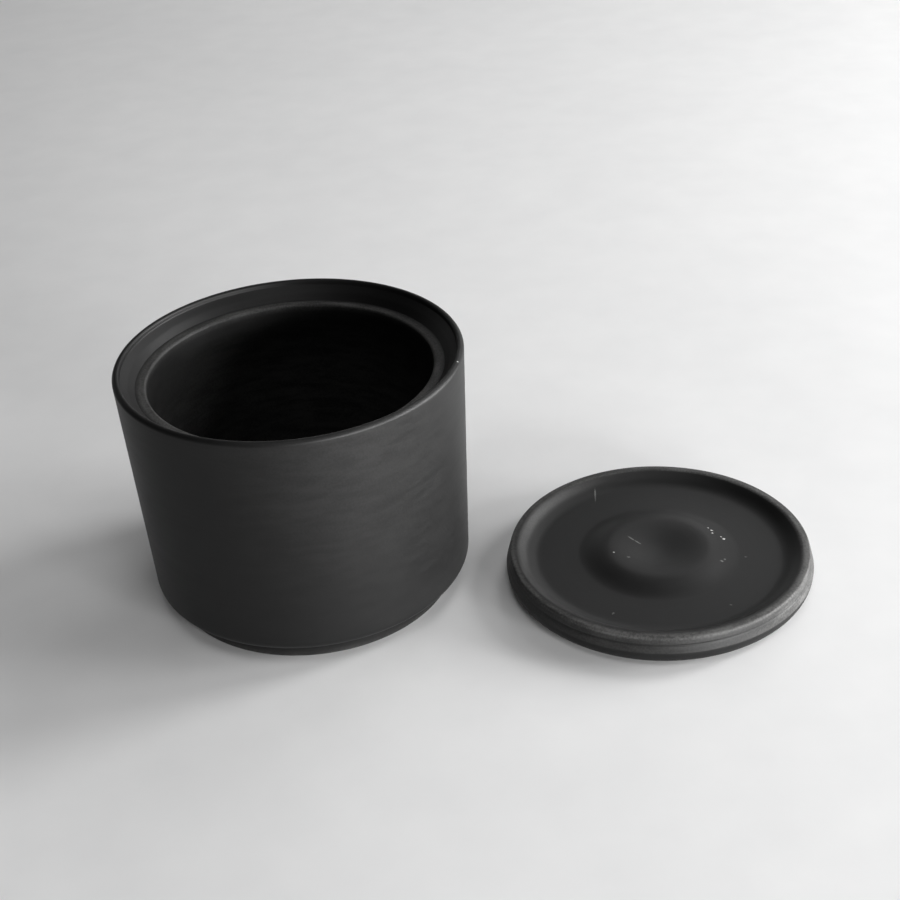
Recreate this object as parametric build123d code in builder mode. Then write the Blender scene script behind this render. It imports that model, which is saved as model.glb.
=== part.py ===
"""Sugar bowl of matt black ceramic: an open bowl and its loose lid.

The bowl is a round pot, a little narrower at its base, on a recessed foot ring. Inside its rim
a sloping rebate leads down to a narrow ledge, the seat of the lid. The lid lies beside the
bowl, upside down, so its seating rim points up and its hollow underside shows. Its top face,
on the table, has a finger groove round a central button.

Millimetres, +Z up. The origin is the centre of the bowl's foot, on the table, and the lid lies
towards +X. Both pieces are turned shapes, so each is one section revolved about its own axis.
"""

import os

from build123d import *

# Bowl: outside
rim_radius = 50.0  # of the wall at the top
bowl_height = 75.6
rim_outer_round = 1.2
rim_inner_round = 0.7
base_radius = 47.6  # of the wall at the bottom
bottom_round = 3.0
foot_radius = 42.5
foot_flare = 0.5  # the ring widens this much up to the body
foot_height = 5.5  # of the body's underside above the table
foot_ring_width = 4.6
foot_edge_round = 0.4
underside_height = 3.5  # of the disc inside the foot ring

# Bowl: seat for the lid, inside the rim
rim_crest_width = 2.0
rebate_mouth_radius = 47.9
rebate_mouth_height = 74.2
rebate_mouth_round = 0.6
rebate_sag = 0.25  # hollow of the sloping rebate
ledge_outer_radius = 44.25
ledge_inner_radius = 41.05
ledge_height = 70.5
ledge_lip_round = 0.8

# Bowl: inside
cavity_base_radius = 40.4
cavity_corner_round = 14.0
floor_height = 9.5

# Lid: place on the table, and outline
lid_offset = 105.0  # from the bowl's axis to the lid's
lid_radius = 45.6
lid_edge_round = 4.95  # between the top face and the side
lid_widest_height = 5.0
seating_rim_outer_radius = 44.4
seating_rim_outer_height = 9.6  # of its outer corner, before the round
seating_rim_outer_round = 0.7
seating_rim_inner_radius = 41.9
seating_rim_inner_height = 9.95  # of its inner corner, before the round
seating_rim_inner_round = 1.8
seam_height = 7.3  # of the fine tooled line round the seating rim
seam_half_width = 0.25
seam_depth = 0.22

# Lid: hollow underside, which faces up
plate_thickness = 7.0  # at the foot of the mound
hollow_radius = 38.1
hollow_edge_height = 6.8  # the floor falls a little from the mound to its edge
hollow_corner_round = 7.0
mound_radius = 24.2
mound_crest_radius = 14.5
mound_height = 2.2  # above its foot
dimple_depth = 1.4

# Lid: top face, on the table
button_radius = 7.5
button_relief = 0.3  # keeps the button clear of the table
groove_outer_radius = 21.5
groove_depth = 3.4
groove_edge_round = 0.8


def corner(section, radius, height):
    """The corner of a section nearest to a radius and a height."""
    return section.vertices().sort_by_distance((radius, height))[0]


os.makedirs("parts", exist_ok=True)

# The bowl ------------------------------------------------------------------------------------

foot_ring_inner = foot_radius - foot_ring_width
foot_top_radius = foot_radius + foot_flare
crest_inner_radius = rim_radius - rim_crest_width

with BuildPart() as bowl:
    with BuildSketch(Plane.XZ) as section:
        with BuildLine():
            Polyline(
                (ledge_outer_radius, ledge_height),
                (ledge_inner_radius, ledge_height),
                (cavity_base_radius, floor_height),
                (0, floor_height),
                (0, underside_height),
                (foot_ring_inner, underside_height),
                (foot_ring_inner, 0),
                (foot_radius, 0),
                (foot_top_radius, foot_height),
                (base_radius, foot_height),
                (rim_radius, bowl_height),
                (crest_inner_radius, bowl_height),
                (rebate_mouth_radius, rebate_mouth_height),
            )
            SagittaArc(
                (rebate_mouth_radius, rebate_mouth_height),
                (ledge_outer_radius, ledge_height),
                rebate_sag,
            )
        make_face()
        fillet(corner(section, ledge_inner_radius, ledge_height), ledge_lip_round)
        fillet(corner(section, cavity_base_radius, floor_height), cavity_corner_round)
        fillet(corner(section, foot_ring_inner, underside_height), foot_edge_round)
        fillet(corner(section, foot_ring_inner, 0), foot_edge_round)
        fillet(corner(section, foot_radius, 0), foot_edge_round)
        fillet(corner(section, foot_top_radius, foot_height), foot_edge_round)
        fillet(corner(section, base_radius, foot_height), bottom_round)
        fillet(corner(section, rim_radius, bowl_height), rim_outer_round)
        fillet(corner(section, crest_inner_radius, bowl_height), rim_inner_round)
        fillet(corner(section, rebate_mouth_radius, rebate_mouth_height), rebate_mouth_round)
    revolve(axis=Axis.Z)
bowl.part.label = "bowl"
export_step(bowl.part, "parts/bowl.step")

# The lid -------------------------------------------------------------------------------------

side_rise = seating_rim_outer_height - lid_widest_height
side_slope = (lid_radius - seating_rim_outer_radius) / side_rise
seam_low = seam_height - seam_half_width
seam_high = seam_height + seam_half_width


def side_radius(height):
    """Radius of the lid's tapering side at a height above its widest line."""
    return lid_radius - side_slope * (height - lid_widest_height)


groove_middle_radius = (button_radius + groove_outer_radius) / 2
mound_top_height = plate_thickness + mound_height
dimple_height = mound_top_height - dimple_depth
inward = (-1, 0)

lid_centre = (lid_offset, 0, 0)

with BuildPart() as lid:
    with BuildSketch(Plane(lid_centre, x_dir=(1, 0, 0), z_dir=(0, -1, 0))) as section:
        with BuildLine():
            Line((0, dimple_height), (0, button_relief))
            Line((0, button_relief), (button_radius, button_relief))
            ThreePointArc(
                (button_radius, button_relief),
                (groove_middle_radius, groove_depth),
                (groove_outer_radius, 0),
            )
            Polyline(
                (groove_outer_radius, 0),
                (lid_radius, 0),
                (lid_radius, lid_widest_height),
                (side_radius(seam_low), seam_low),
                (side_radius(seam_height) - seam_depth, seam_height),
                (side_radius(seam_high), seam_high),
                (seating_rim_outer_radius, seating_rim_outer_height),
                (seating_rim_inner_radius, seating_rim_inner_height),
                (hollow_radius, hollow_edge_height),
                (mound_radius, plate_thickness),
            )
            Spline(
                (mound_radius, plate_thickness),
                (mound_crest_radius, mound_top_height),
                tangents=(inward, inward),
            )
            Spline(
                (mound_crest_radius, mound_top_height),
                (0, dimple_height),
                tangents=(inward, inward),
            )
        make_face()
        fillet(corner(section, button_radius, button_relief), groove_edge_round)
        fillet(corner(section, groove_outer_radius, 0), groove_edge_round)
        fillet(corner(section, lid_radius, 0), lid_edge_round)
        fillet(
            corner(section, seating_rim_outer_radius, seating_rim_outer_height),
            seating_rim_outer_round,
        )
        fillet(
            corner(section, seating_rim_inner_radius, seating_rim_inner_height),
            seating_rim_inner_round,
        )
        fillet(corner(section, hollow_radius, hollow_edge_height), hollow_corner_round)
    revolve(axis=Axis(lid_centre, (0, 0, 1)))
lid.part.label = "lid"
export_step(lid.part, "parts/lid.step")
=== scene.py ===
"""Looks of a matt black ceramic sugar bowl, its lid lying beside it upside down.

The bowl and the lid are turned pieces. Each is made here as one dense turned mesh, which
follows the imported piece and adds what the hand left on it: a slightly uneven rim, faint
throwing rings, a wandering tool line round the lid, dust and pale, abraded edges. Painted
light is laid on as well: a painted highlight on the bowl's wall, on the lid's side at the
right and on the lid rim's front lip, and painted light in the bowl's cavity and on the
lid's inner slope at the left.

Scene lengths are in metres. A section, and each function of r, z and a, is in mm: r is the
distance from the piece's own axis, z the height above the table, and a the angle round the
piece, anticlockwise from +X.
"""

import math

import bpy
import numpy as np
from mathutils import Matrix, Vector


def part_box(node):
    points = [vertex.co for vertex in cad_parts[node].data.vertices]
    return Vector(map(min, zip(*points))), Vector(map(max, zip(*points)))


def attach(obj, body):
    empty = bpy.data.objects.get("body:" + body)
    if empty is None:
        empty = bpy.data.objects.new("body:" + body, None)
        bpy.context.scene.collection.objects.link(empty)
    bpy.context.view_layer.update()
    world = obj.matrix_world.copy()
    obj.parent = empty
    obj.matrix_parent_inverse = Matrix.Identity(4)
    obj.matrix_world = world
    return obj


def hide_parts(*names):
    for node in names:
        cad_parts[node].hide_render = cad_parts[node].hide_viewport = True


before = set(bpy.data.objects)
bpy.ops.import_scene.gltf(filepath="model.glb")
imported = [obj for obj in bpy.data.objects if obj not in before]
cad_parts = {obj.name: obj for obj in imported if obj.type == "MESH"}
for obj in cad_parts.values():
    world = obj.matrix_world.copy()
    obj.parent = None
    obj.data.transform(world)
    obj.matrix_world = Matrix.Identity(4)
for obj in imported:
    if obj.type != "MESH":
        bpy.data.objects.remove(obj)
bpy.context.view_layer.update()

MM = 0.001
TURN_STEPS = 360  # flat faces round each turned piece
ARC_STEP = math.radians(7)  # the most that a rounded corner turns between two points
FEWEST_ARC_STEPS = 4

lid_low, lid_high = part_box("lid")
LID_X = (lid_low.x + lid_high.x) / 2


# Turned shapes -------------------------------------------------------------------------------


def arc_points(corner, before, after, radius):
    """Points of the round of one corner, between the directions to its two neighbours."""
    into = (before - corner) / np.linalg.norm(before - corner)
    out = (after - corner) / np.linalg.norm(after - corner)
    half = math.acos(float(np.clip(into @ out, -1, 1))) / 2
    middle = (into + out) / np.linalg.norm(into + out)
    centre = corner + middle * radius / math.sin(half)
    start = corner + into * radius / math.tan(half)
    end = corner + out * radius / math.tan(half)
    first = math.atan2(*(start - centre)[::-1])
    sweep = math.atan2(*(end - centre)[::-1]) - first
    sweep = (sweep + math.pi) % (2 * math.pi) - math.pi
    count = max(FEWEST_ARC_STEPS, math.ceil(abs(sweep) / ARC_STEP))
    turns = first + sweep * np.linspace(0, 1, count + 1)
    return [centre + radius * np.array([math.cos(t), math.sin(t)]) for t in turns]


def outline(corners, spacing):
    """A section's points, at most a spacing apart. Corners are (radius, height, round)."""
    places = [np.array(c[:2], float) for c in corners]
    path = []
    for i, (_, _, radius) in enumerate(corners):
        if radius == 0 or i in (0, len(corners) - 1):
            path.append(places[i])
        else:
            path += arc_points(places[i], places[i - 1], places[i + 1], radius)
    points = [path[0]]
    for here in path[1:]:
        start = points[-1]
        parts = max(1, math.ceil(np.linalg.norm(here - start) / spacing))
        points += [start + (here - start) * k / parts for k in range(1, parts + 1)]
    return np.array(points)


def turned_faces(rings):
    """The faces of a closed turned mesh: its rings in order, then a pole at either end."""
    first, last = rings * TURN_STEPS, rings * TURN_STEPS + 1
    top = (rings - 1) * TURN_STEPS
    faces = []
    for k in range(TURN_STEPS):
        n = (k + 1) % TURN_STEPS
        for low in range(0, top, TURN_STEPS):
            high = low + TURN_STEPS
            faces.append((low + k, low + n, high + n, high + k))
        faces.append((first, n, k))
        faces.append((last, top + k, top + n))
    return faces


def turned(name, section, axis_x, shape, wear_and_light):
    """A closed mesh from a section that starts and ends on its axis.

    shape(r, z, a) returns the radius and height of each point, and leaves the axis alone. Two
    values go with each point: run, its way along the section in mm, and the value of the last
    function at (r, z, a), which is 0 on untouched clay and 1 where the clay is paled all the
    way, by abrasion and dust and, in places, by painted light.
    """
    angles = np.linspace(0, 2 * math.pi, TURN_STEPS, endpoint=False)
    r, a = np.meshgrid(section[1:-1, 0], angles, indexing="ij")
    z = np.repeat(section[1:-1, 1][:, None], TURN_STEPS, axis=1)
    worn_and_lit = wear_and_light(r, z, a)
    r, z = shape(r, z, a)
    x = axis_x + r * np.cos(a) * MM
    grid = np.stack([x, r * np.sin(a) * MM, z * MM], axis=-1).reshape(-1, 3)
    poles = np.array([[axis_x, 0, section[0][1] * MM], [axis_x, 0, section[-1][1] * MM]])
    mesh = bpy.data.meshes.new(name)
    mesh.from_pydata(np.vstack([grid, poles]).tolist(), [], turned_faces(len(section) - 2))
    run = np.cumsum(np.linalg.norm(np.diff(section, axis=0), axis=1))
    per_ring = np.repeat(run[:-1], TURN_STEPS)
    for key, values in (
        ("run", np.concatenate([per_ring, [0, run[-1]]])),
        ("wear_and_light", np.concatenate([worn_and_lit.reshape(-1), [0, 0]])),
    ):
        mesh.attributes.new(key, "FLOAT", "POINT").data.foreach_set("value", values)
    mesh.update()
    mesh.shade_smooth()
    piece = bpy.data.objects.new(name, mesh)
    bpy.context.scene.collection.objects.link(piece)
    return piece


def ease(value, start, end):
    """0 at start to 1 at end, flat at both."""
    t = np.clip((value - start) / (end - start), 0, 1)
    return t * t * (3 - 2 * t)


def hump(value, middle, half_width):
    """1 at the middle, falling smoothly to 0 at half_width on each side."""
    return np.clip(1 - ((value - middle) / half_width) ** 2, 0, 1) ** 2


def around(a, degrees, half_width):
    """1 at an angle round the piece, falling smoothly to 0 at half_width degrees each side."""
    away = (np.degrees(a) - degrees + 180) % 360 - 180
    return hump(away, 0, half_width)


# The bowl ------------------------------------------------------------------------------------

CAVITY_FLOOR = 9.5  # heights
LEDGE = 70.5
RIM = 75.6
WALL_FOOT = 5.5
UNDERSIDE = 3.5
RIM_WAVE = 0.05  # the rim's lowest points are this much below its highest
BOWL_SPACING = 1.65

BOWL_SECTION = [  # radius, height, round
    (0, CAVITY_FLOOR, 0),
    (40.4, CAVITY_FLOOR, 14.0),
    (41.05, LEDGE, 0.8),  # the ledge's lip
    (44.25, LEDGE, 0.25),
    (45.95, 72.52, 6.0),  # the hollow of the sloping rebate
    (47.9, 74.2, 0.6),  # the rebate's mouth
    (48.0, RIM, 0.7),  # the crest's inner edge
    (50.0, RIM, 1.2),
    (47.6, WALL_FOOT, 3.0),
    (43.0, WALL_FOOT, 0.4),  # the top of the foot ring
    (42.5, 0, 0.4),
    (37.9, 0, 0.4),
    (37.9, UNDERSIDE, 0.4),
    (0, UNDERSIDE, 0),
]


def bowl_shape(r, z, a):
    """The hand's unevenness: a rim that waves a little, and a wall with faint throwing rings."""
    upper = ease(z, 40, RIM)
    z = z - RIM_WAVE * upper * (1 + np.sin(2 * a + 0.7)) * 0.5
    wall = (r > 45) & (z > 10)
    wide = 0.008 * np.sin(z * 0.6 + 0.6 * np.sin(2 * a))
    fine = 0.004 * np.sin(z * 1.3 + 1.1 * np.cos(3 * a))
    return r + np.where(wall, wide + fine, 0), z


def bowl_wear_and_light(r, z, a):
    """Pale on the ledge, its lip and the foot. The cavity's lower part is made paler as painted
    light, lifting the shade in it. The wall carries a painted highlight, a soft pale patch on its
    front right side that grows stronger towards the rim."""
    ledge = hump(r, 42.6, 1.9) * ease(z, 69, 70.4) * (1 - ease(z, 71, 72))
    lip = hump(r, 41.4, 0.8) * ease(z, 68.5, 70)
    foot = ease(r, 41, 42) * (1 - ease(z, 0.5, 2.5))
    # painted light: the lower part of the cavity made paler, lifting the shade inside it
    inside = (r < 41.5) * ease(z, 9, CAVITY_FLOOR) * (1 - ease(z, 40, 74))
    # painted highlight: a soft pale patch on the wall's front right, stronger towards the rim
    painted_wall_highlight = ease(r, 46, 47) * ease(z, 5, 72) * around(a, -55, 62)
    return 0.8 * ledge + 0.25 * lip + 0.3 * foot + 0.35 * inside + 0.085 * painted_wall_highlight


bowl = turned("bowl_shell", outline(BOWL_SECTION, BOWL_SPACING), 0.0, bowl_shape, bowl_wear_and_light)

# The lid -------------------------------------------------------------------------------------

LID_SPACING = 0.8
LID_RADIUS = 45.6
SIDE_FOOT = (LID_RADIUS, 5.0)  # the widest line of the side: radius, height
SIDE_TOP = (44.4, 9.6)
SEAM_HEIGHT = 7.3  # of the tool line round the side
SEAM_HALF_WIDTH = 0.5
SEAM_BAND = 0.6  # close rings carry the tool line, this far above and below it
SEAM_RING_GAP = 0.08
SEAM_DEEPEST = (-98, 50)  # in degrees round the lid: where, and how far to each side

PLATE = 7.0  # height of the hollow's floor at the mound's foot
MOUND_FOOT = 24.2  # radius
MOUND_CREST = 14.5  # radius
MOUND_RISE = 2.2
DIMPLE_DEPTH = 1.4
MOUND_RING_GAP = 0.6

BUTTON_RADIUS = 7.5
BUTTON_RELIEF = 0.3  # the button's height above the table
GROOVE_EDGE = 21.5  # outer radius of the finger groove
GROOVE_MIDDLE = 14.5  # radius
GROOVE_DEPTH = 3.4
GROOVE_ARC = 9.17  # radius of the groove's round section
GROOVE_RING_GAP = 0.7


def mound(r):
    """Height of the underside's soft mound, and the dimple on it."""
    rise = MOUND_RISE * ease(r, MOUND_FOOT, MOUND_CREST)
    return PLATE + rise - DIMPLE_DEPTH * ease(r, MOUND_CREST, 0)


def groove(r):
    """Height of the finger groove in the top face, which lies on the table."""
    return GROOVE_DEPTH - (GROOVE_ARC - math.sqrt(GROOVE_ARC**2 - (r - GROOVE_MIDDLE) ** 2))


def side_radius(z):
    """Radius of the tapering side."""
    return np.interp(z, (SIDE_FOOT[1], SIDE_TOP[1]), (SIDE_FOOT[0], SIDE_TOP[0]))


seam_top, seam_bottom = SEAM_HEIGHT + SEAM_BAND, SEAM_HEIGHT - SEAM_BAND
seam_rings = np.arange(seam_top, seam_bottom, -SEAM_RING_GAP)
groove_first = GROOVE_EDGE - GROOVE_RING_GAP
groove_end = BUTTON_RADIUS + GROOVE_RING_GAP / 2
groove_rings = np.arange(groove_first, groove_end, -GROOVE_RING_GAP)
LID_SECTION = (  # radius, height, round: the underside, the side, then the top face
    [(r, mound(r), 0) for r in np.arange(0, MOUND_FOOT, MOUND_RING_GAP)]
    + [(MOUND_FOOT, PLATE, 0), (38.1, 6.8, 7.0)]  # the hollow's floor and its outer corner
    + [(41.9, 9.95, 1.8), (*SIDE_TOP, 0.7)]  # the seating rim's inner and outer edges
    + [(side_radius(z), z, 0) for z in seam_rings]
    + [(*SIDE_FOOT, 0.15), (LID_RADIUS, 0, 4.8), (GROOVE_EDGE, 0, 0.8)]
    + [(r, groove(r), 0) for r in groove_rings]
    + [(BUTTON_RADIUS, BUTTON_RELIEF, 0), (0, BUTTON_RELIEF, 0)]
)


def seam(r, z, a):
    """1 along the middle of the tool line, which wanders up and down the side a little."""
    middle = SEAM_HEIGHT + 0.09 * np.sin(2 * a + 2.2) + 0.05 * np.sin(7 * a + 1.3)
    return hump(z, middle, SEAM_HALF_WIDTH) * (r > 44)


def lid_shape(r, z, a):
    """The tool line round the side, deepest towards the front, and the rim's unevenness."""
    depth = 0.04 + 0.09 * around(a, *SEAM_DEEPEST) + 0.02 * np.sin(8 * a + 0.4)
    rim = ease(r, 40.5, 42) * ease(z, 8, 9.5)
    z = z + rim * (0.03 * np.sin(3 * a + 0.4) + 0.02 * np.sin(8 * a) - 0.04)
    return r - depth * seam(r, z, a), z


def lid_wear_and_light(r, z, a):
    """The side is pale from abrasion all round, with a painted highlight that makes it much
    paler at the right. The rim's crest at the back is pale from abrasion, and its lip at the
    front carries a painted highlight. The sloping inner edge is made paler at the left as
    painted light, where it faces the lamps, and the tool line stays dark."""
    back = around(a, 50, 120)
    crest = ease(r, 41.2, 42.0) * ease(z, 9.2, 9.6)
    lip = ease(r, 42.3, 43.3) * ease(z, 8.5, 9.1)
    side = ease(r, 43.7, 44.3) * ease(z, 4.7, 5.1)
    slope = ease(r, 38.5, 40.5) * (1 - ease(r, 42, 43.5)) * ease(z, 6, 8)
    high = ease(z, 7.0, 9.3)
    # painted highlight: the side made paler at the right, more so low down; the rest is abrasion
    right = around(a, -18, 45) * (1.3 - 0.7 * high)
    rubbed_and_lit = 0.2 + 0.6 * right + 0.15 * around(a, -100, 50) * high
    # painted highlight on the rim's lip at the front, and painted light on the inner slope at the
    # left, where it faces the lamps; the crest at the back is paled by abrasion
    top = 0.75 * back * crest + 0.75 * (1 - back) * lip + 0.2 * around(a, 170, 80) * slope
    shown = 1 - (0.3 + 0.45 * around(a, *SEAM_DEEPEST)) * seam(r, z, a)
    return np.clip(top * (1 - 0.4 * side) + rubbed_and_lit * side, 0, 1) * shown


lid = turned("lid_shell", outline(LID_SECTION, LID_SPACING), LID_X, lid_shape, lid_wear_and_light)


# Materials -----------------------------------------------------------------------------------

# the pale clay colour of dust and abrasion, also used for painted light
WORN_AND_LIT_COLOUR = (0.100, 0.099, 0.097, 1)
DUST_COLOUR = (0.42, 0.42, 0.41, 1)
SCUFF = 0.22  # strength of a scuff beside a speck of dust
DUST_ROUGHNESS = 0.85
WORN_ROUGHER = 0.1
ROUGH_SPREAD = 0.03
MARK_DEPTH = 2  # mm, of the ellipsoid that draws each mark


def node(tree, kind, inputs=None, **settings):
    """A shader node. Each input is set to a value, or joined to the output it is given."""
    made = tree.nodes.new("ShaderNode" + kind)
    for key, value in settings.items():
        setattr(made, key, value)
    for key, value in (inputs or {}).items():
        if isinstance(value, bpy.types.NodeSocket):
            tree.links.new(value, made.inputs[key])
        else:
            made.inputs[key].default_value = value
    return made


def new_material(name):
    """A material, its node tree and its shader."""
    material = bpy.data.materials.new(name)
    material.use_nodes = True
    return material, material.node_tree, material.node_tree.nodes["Principled BSDF"]


def spread(tree, value, low, high, start, end):
    """Maps start..end of a value to low..high, and clamps it there."""
    inputs = {"Value": value, "From Min": start, "From Max": end, "To Min": low, "To Max": high}
    return node(tree, "MapRange", inputs).outputs["Result"]


def maths(tree, operation, first, second):
    """One sum, product or other operation on two values."""
    return node(tree, "Math", {0: first, 1: second}, operation=operation).outputs[0]


def blend(tree, factor, below, above):
    """The colour below at factor 0, and the colour above at 1."""
    inputs = {"Fac": factor, "Color1": below, "Color2": above}
    return node(tree, "MixRGB", inputs).outputs[0]


def noise(tree, vector, scale, detail=2.0):
    """Cloudy noise, with about this many clouds in a metre."""
    inputs = {"Vector": vector, "Scale": scale, "Detail": detail}
    return node(tree, "TexNoise", inputs).outputs[0]


def turned_noise(tree, place, along, across, detail=2.0):
    """Noise drawn out round the wheel: along per metre round it, across per mm of the section."""
    run = node(tree, "Attribute", attribute_name="run").outputs["Fac"]
    up = node(tree, "CombineXYZ", {"Z": maths(tree, "MULTIPLY", run, across)}).outputs[0]
    flat = node(tree, "VectorMath", {0: place, 1: (along, along, 0)}, operation="MULTIPLY")
    both = node(tree, "VectorMath", {0: flat.outputs[0], 1: up}, operation="ADD").outputs[0]
    return noise(tree, both, 1.0, detail)


def bump(tree, height, distance, below=None):
    """A normal roughened by a height of 0 to 1, over a distance in metres."""
    inputs = {"Height": height, "Distance": distance, "Strength": 1.0}
    if below:
        inputs["Normal"] = below
    return node(tree, "Bump", inputs).outputs[0]


def flecks(tree, place, marks):
    """1 on each mark and 0 between them. A mark is (x, y, z, length, width, turn) in mm and
    degrees, a small ellipsoid with a ragged outline."""
    ragged = noise(tree, place, 2600.0)
    found = None
    for x, y, z, length, width, turn in marks:
        inputs = {
            "Vector": place,
            "Location": (x * MM, y * MM, z * MM),
            "Rotation": (0, 0, math.radians(turn)),
            "Scale": (length * MM, width * MM, MARK_DEPTH * MM),
        }
        local = node(tree, "Mapping", inputs, vector_type="TEXTURE").outputs[0]
        far = node(tree, "VectorMath", {0: local}, operation="LENGTH").outputs["Value"]
        far = maths(tree, "ADD", far, maths(tree, "MULTIPLY", ragged, 0.9))
        one = spread(tree, far, 1.0, 0.0, 0.75, 1.05)
        found = one if found is None else maths(tree, "MAXIMUM", found, one)
    return found


def black_clay(name, shine, rough_low, dark, pale, specks, scuffs):
    """Burnished black clay: cloudy, faintly ringed from the wheel, and paled where its mesh
    asks, by dust and abrasion and, in places, by painted light.
    """
    material, tree, shader = new_material(name)
    place = node(tree, "TexCoord").outputs["Object"]
    worn_and_lit = node(tree, "Attribute", attribute_name="wear_and_light").outputs["Fac"]
    clouds = noise(tree, place, 55.0, 3.0)
    streaks = turned_noise(tree, place, 110.0, 0.55, 3.0)
    lines = turned_noise(tree, place, 14.0, 1.3)
    grain = noise(tree, place, 1700.0)

    patchy = spread(tree, maths(tree, "ADD", clouds, streaks), 0.0, 1.0, 0.75, 1.25)
    colour = blend(tree, patchy, (dark, dark, dark, 1), (pale, pale, pale, 1))
    # paler by dust and abrasion, and in places by painted light, as the mesh's per-point value
    # gives
    rubbed_and_lit = spread(tree, maths(tree, "ADD", streaks, grain), 0.35, 1.0, 0.8, 1.2)
    dusty_and_lit = maths(tree, "MULTIPLY", worn_and_lit, rubbed_and_lit)
    colour = blend(tree, dusty_and_lit, colour, WORN_AND_LIT_COLOUR)
    lapped = maths(tree, "ADD", streaks, lines)
    rough = spread(tree, lapped, rough_low, rough_low + ROUGH_SPREAD, 0.75, 1.25)
    rough = maths(tree, "ADD", rough, maths(tree, "MULTIPLY", worn_and_lit, WORN_ROUGHER))

    surface = bump(tree, noise(tree, place, 90.0), 2e-5)
    surface = bump(tree, lines, 4e-6, surface)
    surface = bump(tree, streaks, 2e-6, surface)
    surface = bump(tree, grain, 9e-6, surface)

    dust = flecks(tree, place, specks)
    scuffed = maths(tree, "MULTIPLY", flecks(tree, place, scuffs), SCUFF)
    dust = maths(tree, "MAXIMUM", dust, scuffed)
    colour = blend(tree, dust, colour, DUST_COLOUR)
    rough = maths(tree, "MAXIMUM", rough, maths(tree, "MULTIPLY", dust, DUST_ROUGHNESS))
    surface = bump(tree, dust, 1e-4, surface)
    tree.links.new(colour, shader.inputs["Base Color"])
    tree.links.new(rough, shader.inputs["Roughness"])
    tree.links.new(surface, shader.inputs["Normal"])
    shader.inputs["Specular IOR Level"].default_value = shine
    return material


def pale_paper():
    """Matt drawing paper with a faint, cloudy tooth."""
    material, tree, shader = new_material("pale_paper")
    place = node(tree, "TexCoord").outputs["Object"]
    clouds = maths(tree, "ADD", noise(tree, place, 9.0, 4.0), noise(tree, place, 48.0, 3.0))
    shade = spread(tree, clouds, 0.0, 1.0, 0.6, 1.4)
    colour = blend(tree, shade, (0.775, 0.776, 0.778, 1), (0.83, 0.83, 0.83, 1))
    tree.links.new(colour, shader.inputs["Base Color"])
    surface = bump(tree, noise(tree, place, 500.0, 3.0), 7e-6)
    surface = bump(tree, noise(tree, place, 45.0), 2e-5, surface)
    tree.links.new(surface, shader.inputs["Normal"])
    shader.inputs["Roughness"].default_value = 0.9
    shader.inputs["Specular IOR Level"].default_value = 0.2
    return material


def on_lid(radius, degrees, length, width, turn=0):
    """A mark on the lid's underside, in mm, at an angle round it from +X."""
    x = LID_X / MM + radius * math.cos(math.radians(degrees))
    y = radius * math.sin(math.radians(degrees))
    return x, y, float(mound(radius)), length, width, turn


def on_bowl(radius, height, a, length, width):
    """A mark on the bowl, in mm, at an angle round it in radians."""
    return radius * math.cos(a), radius * math.sin(a), height, length, width, 0


LID_SPECKS = [
    on_lid(18.9, 31, 0.95, 0.75, 20),
    on_lid(18.1, 26, 0.75, 0.6, 70),
    on_lid(18.7, 36, 0.6, 0.5),
    on_lid(20.5, 17, 1.1, 0.8, 60),
    on_lid(20.1, 20, 0.6, 0.5),
    on_lid(13.7, -166, 0.65, 0.5),
]
LID_SCUFFS = [
    on_lid(19.3, -18, 0.9, 0.7),
    on_lid(19.9, -14, 0.7, 0.5),
    on_lid(10.4, -149, 0.9, 0.7),
    on_lid(25.7, -5, 0.8, 0.6),
    on_lid(32.9, -114, 1.1, 0.6, 60),
    on_lid(32.4, -52, 0.8, 0.6),
    on_lid(9.2, 151, 2.6, 0.5, -42),
    on_lid(7.0, 154, 2.6, 0.45, -36),
    on_lid(36.5, 122, 7.0, 0.4, 92),
]
BOWL_SPECKS = [on_bowl(49.2, 75.5, -0.12, 0.5, 0.4)]
BOWL_SCUFFS = [on_bowl(50.0, 60.0, -1.2, 0.5, 0.4)]

bowl_clay = black_clay("black_clay_bowl", 0.3, 0.49, 0.0018, 0.0032, BOWL_SPECKS, BOWL_SCUFFS)
lid_clay = black_clay("black_clay_lid", 0.35, 0.515, 0.0012, 0.0036, LID_SPECKS, LID_SCUFFS)
for piece, body, clay in ((bowl, "bowl", bowl_clay), (lid, "lid", lid_clay)):
    piece.data.materials.append(clay)
    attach(piece, body)
    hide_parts(body)

# Floor ---------------------------------------------------------------------------------------

FLOOR_HALF = 5.0  # half of its width

mesh = bpy.data.meshes.new("floor")
corners = [(x, y, 0) for x, y in ((-1, -1), (1, -1), (1, 1), (-1, 1))]
mesh.from_pydata([tuple(FLOOR_HALF * c for c in p) for p in corners], [], [(0, 1, 2, 3)])
floor = bpy.data.objects.new("floor", mesh)
bpy.context.scene.collection.objects.link(floor)
mesh.materials.append(pale_paper())

# Camera --------------------------------------------------------------------------------------

CAMERA_PLACE = (0.0944, -0.3848, 0.2799)
CAMERA_TURN = math.radians(7.42)  # to the left of straight ahead, +Y
CAMERA_DIP = math.radians(31.4)  # below the horizon
CAMERA_ROLL = math.radians(3.99)  # clockwise, seen from behind the camera
CAMERA_LENS = 62.29  # mm
CAMERA_SENSOR = 36  # mm

camera_data = bpy.data.cameras.new("camera")
camera_data.lens = CAMERA_LENS
camera_data.sensor_width = CAMERA_SENSOR
camera = bpy.data.objects.new("camera", camera_data)
camera.matrix_world = (
    Matrix.Translation(CAMERA_PLACE)
    @ Matrix.Rotation(CAMERA_TURN, 4, "Z")
    @ Matrix.Rotation(math.pi / 2 - CAMERA_DIP, 4, "X")
    @ Matrix.Rotation(-CAMERA_ROLL, 4, "Z")
)
bpy.context.scene.collection.objects.link(camera)
bpy.context.scene.camera = camera

# Light ---------------------------------------------------------------------------------------

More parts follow.
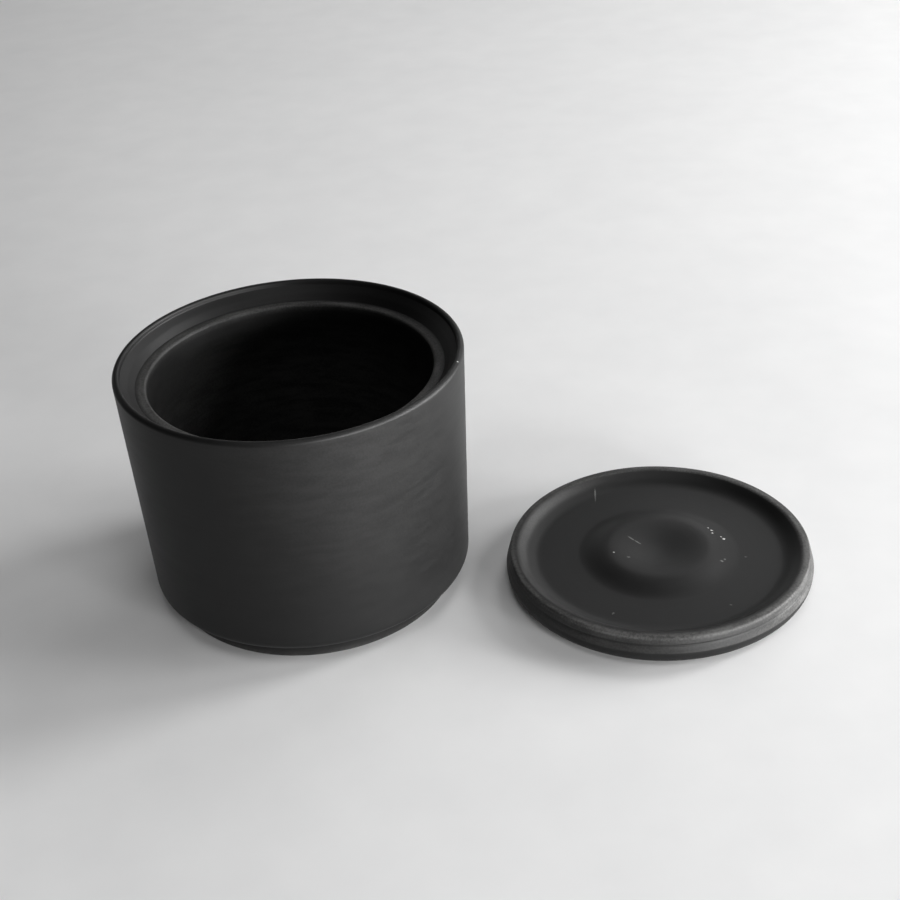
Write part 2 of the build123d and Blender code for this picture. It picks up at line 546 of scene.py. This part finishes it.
LIT_PLACE = Vector((0.05, 0, 0.03))  # what the side lamps point at
LAMP_DISTANCE = 1.2  # of the side lamps from it
ROOM_GREY = (0.8, 0.8, 0.8, 1)
ROOM_STRENGTH = 0.04


def lamp(name, place, aim, size, watts):
    """A soft round lamp at a place, pointing at another."""
    data = bpy.data.lights.new(name, "AREA")
    data.shape = "DISK"
    data.size = size
    data.energy = watts
    light = bpy.data.objects.new(name, data)
    light.location = place
    light.rotation_euler = (Vector(aim) - Vector(place)).to_track_quat("-Z", "Y").to_euler()
    bpy.context.scene.collection.objects.link(light)


def side_lamp(name, azimuth, elevation, size, watts):
    """A lamp beside the table; azimuth anticlockwise from +X, angles in degrees."""
    turn, rise = math.radians(azimuth), math.radians(elevation)
    flat = LAMP_DISTANCE * math.cos(rise)
    up = LAMP_DISTANCE * math.sin(rise)
    offset = Vector((flat * math.cos(turn), flat * math.sin(turn), up))
    lamp(name, LIT_PLACE + offset, LIT_PLACE, size, watts)


# A long low window from the front right round to the right, with sky above it
side_lamp("window_near", -55, 4, 0.3, 8.6)
side_lamp("window_middle", -40, 4, 0.3, 13.8)
side_lamp("window_low", -10, 4, 0.3, 6.8)
side_lamp("window_right", 10, 4, 0.3, 5.2)
side_lamp("window_upper", 0, 10, 0.4, 10.2)
side_lamp("window_far", 25, 10, 0.4, 6.2)
side_lamp("sky_right", 25, 30, 0.4, 5.4)
side_lamp("sky_low_behind", 75, 10, 0.4, 0.5)
side_lamp("sky_behind", 75, 30, 0.4, 1.1)
side_lamp("sky_high", 60, 50, 0.4, 1.2)

# The room's own faint light
side_lamp("room_behind_low", 105, 4, 0.3, 0.6)
side_lamp("room_behind", 105, 45, 0.6, 0.5)
side_lamp("room_left", 140, 15, 0.6, 0.3)
lamp("room_above", (0.1, -0.35, 0.95), (0.1, -0.35, 0), 0.45, 1.4)

world = bpy.data.worlds.new("room")
bpy.context.scene.world = world
world.use_nodes = True
background = world.node_tree.nodes["Background"]
background.inputs["Color"].default_value = ROOM_GREY
background.inputs["Strength"].default_value = ROOM_STRENGTH
bpy.context.scene.view_settings.view_transform = "Standard"
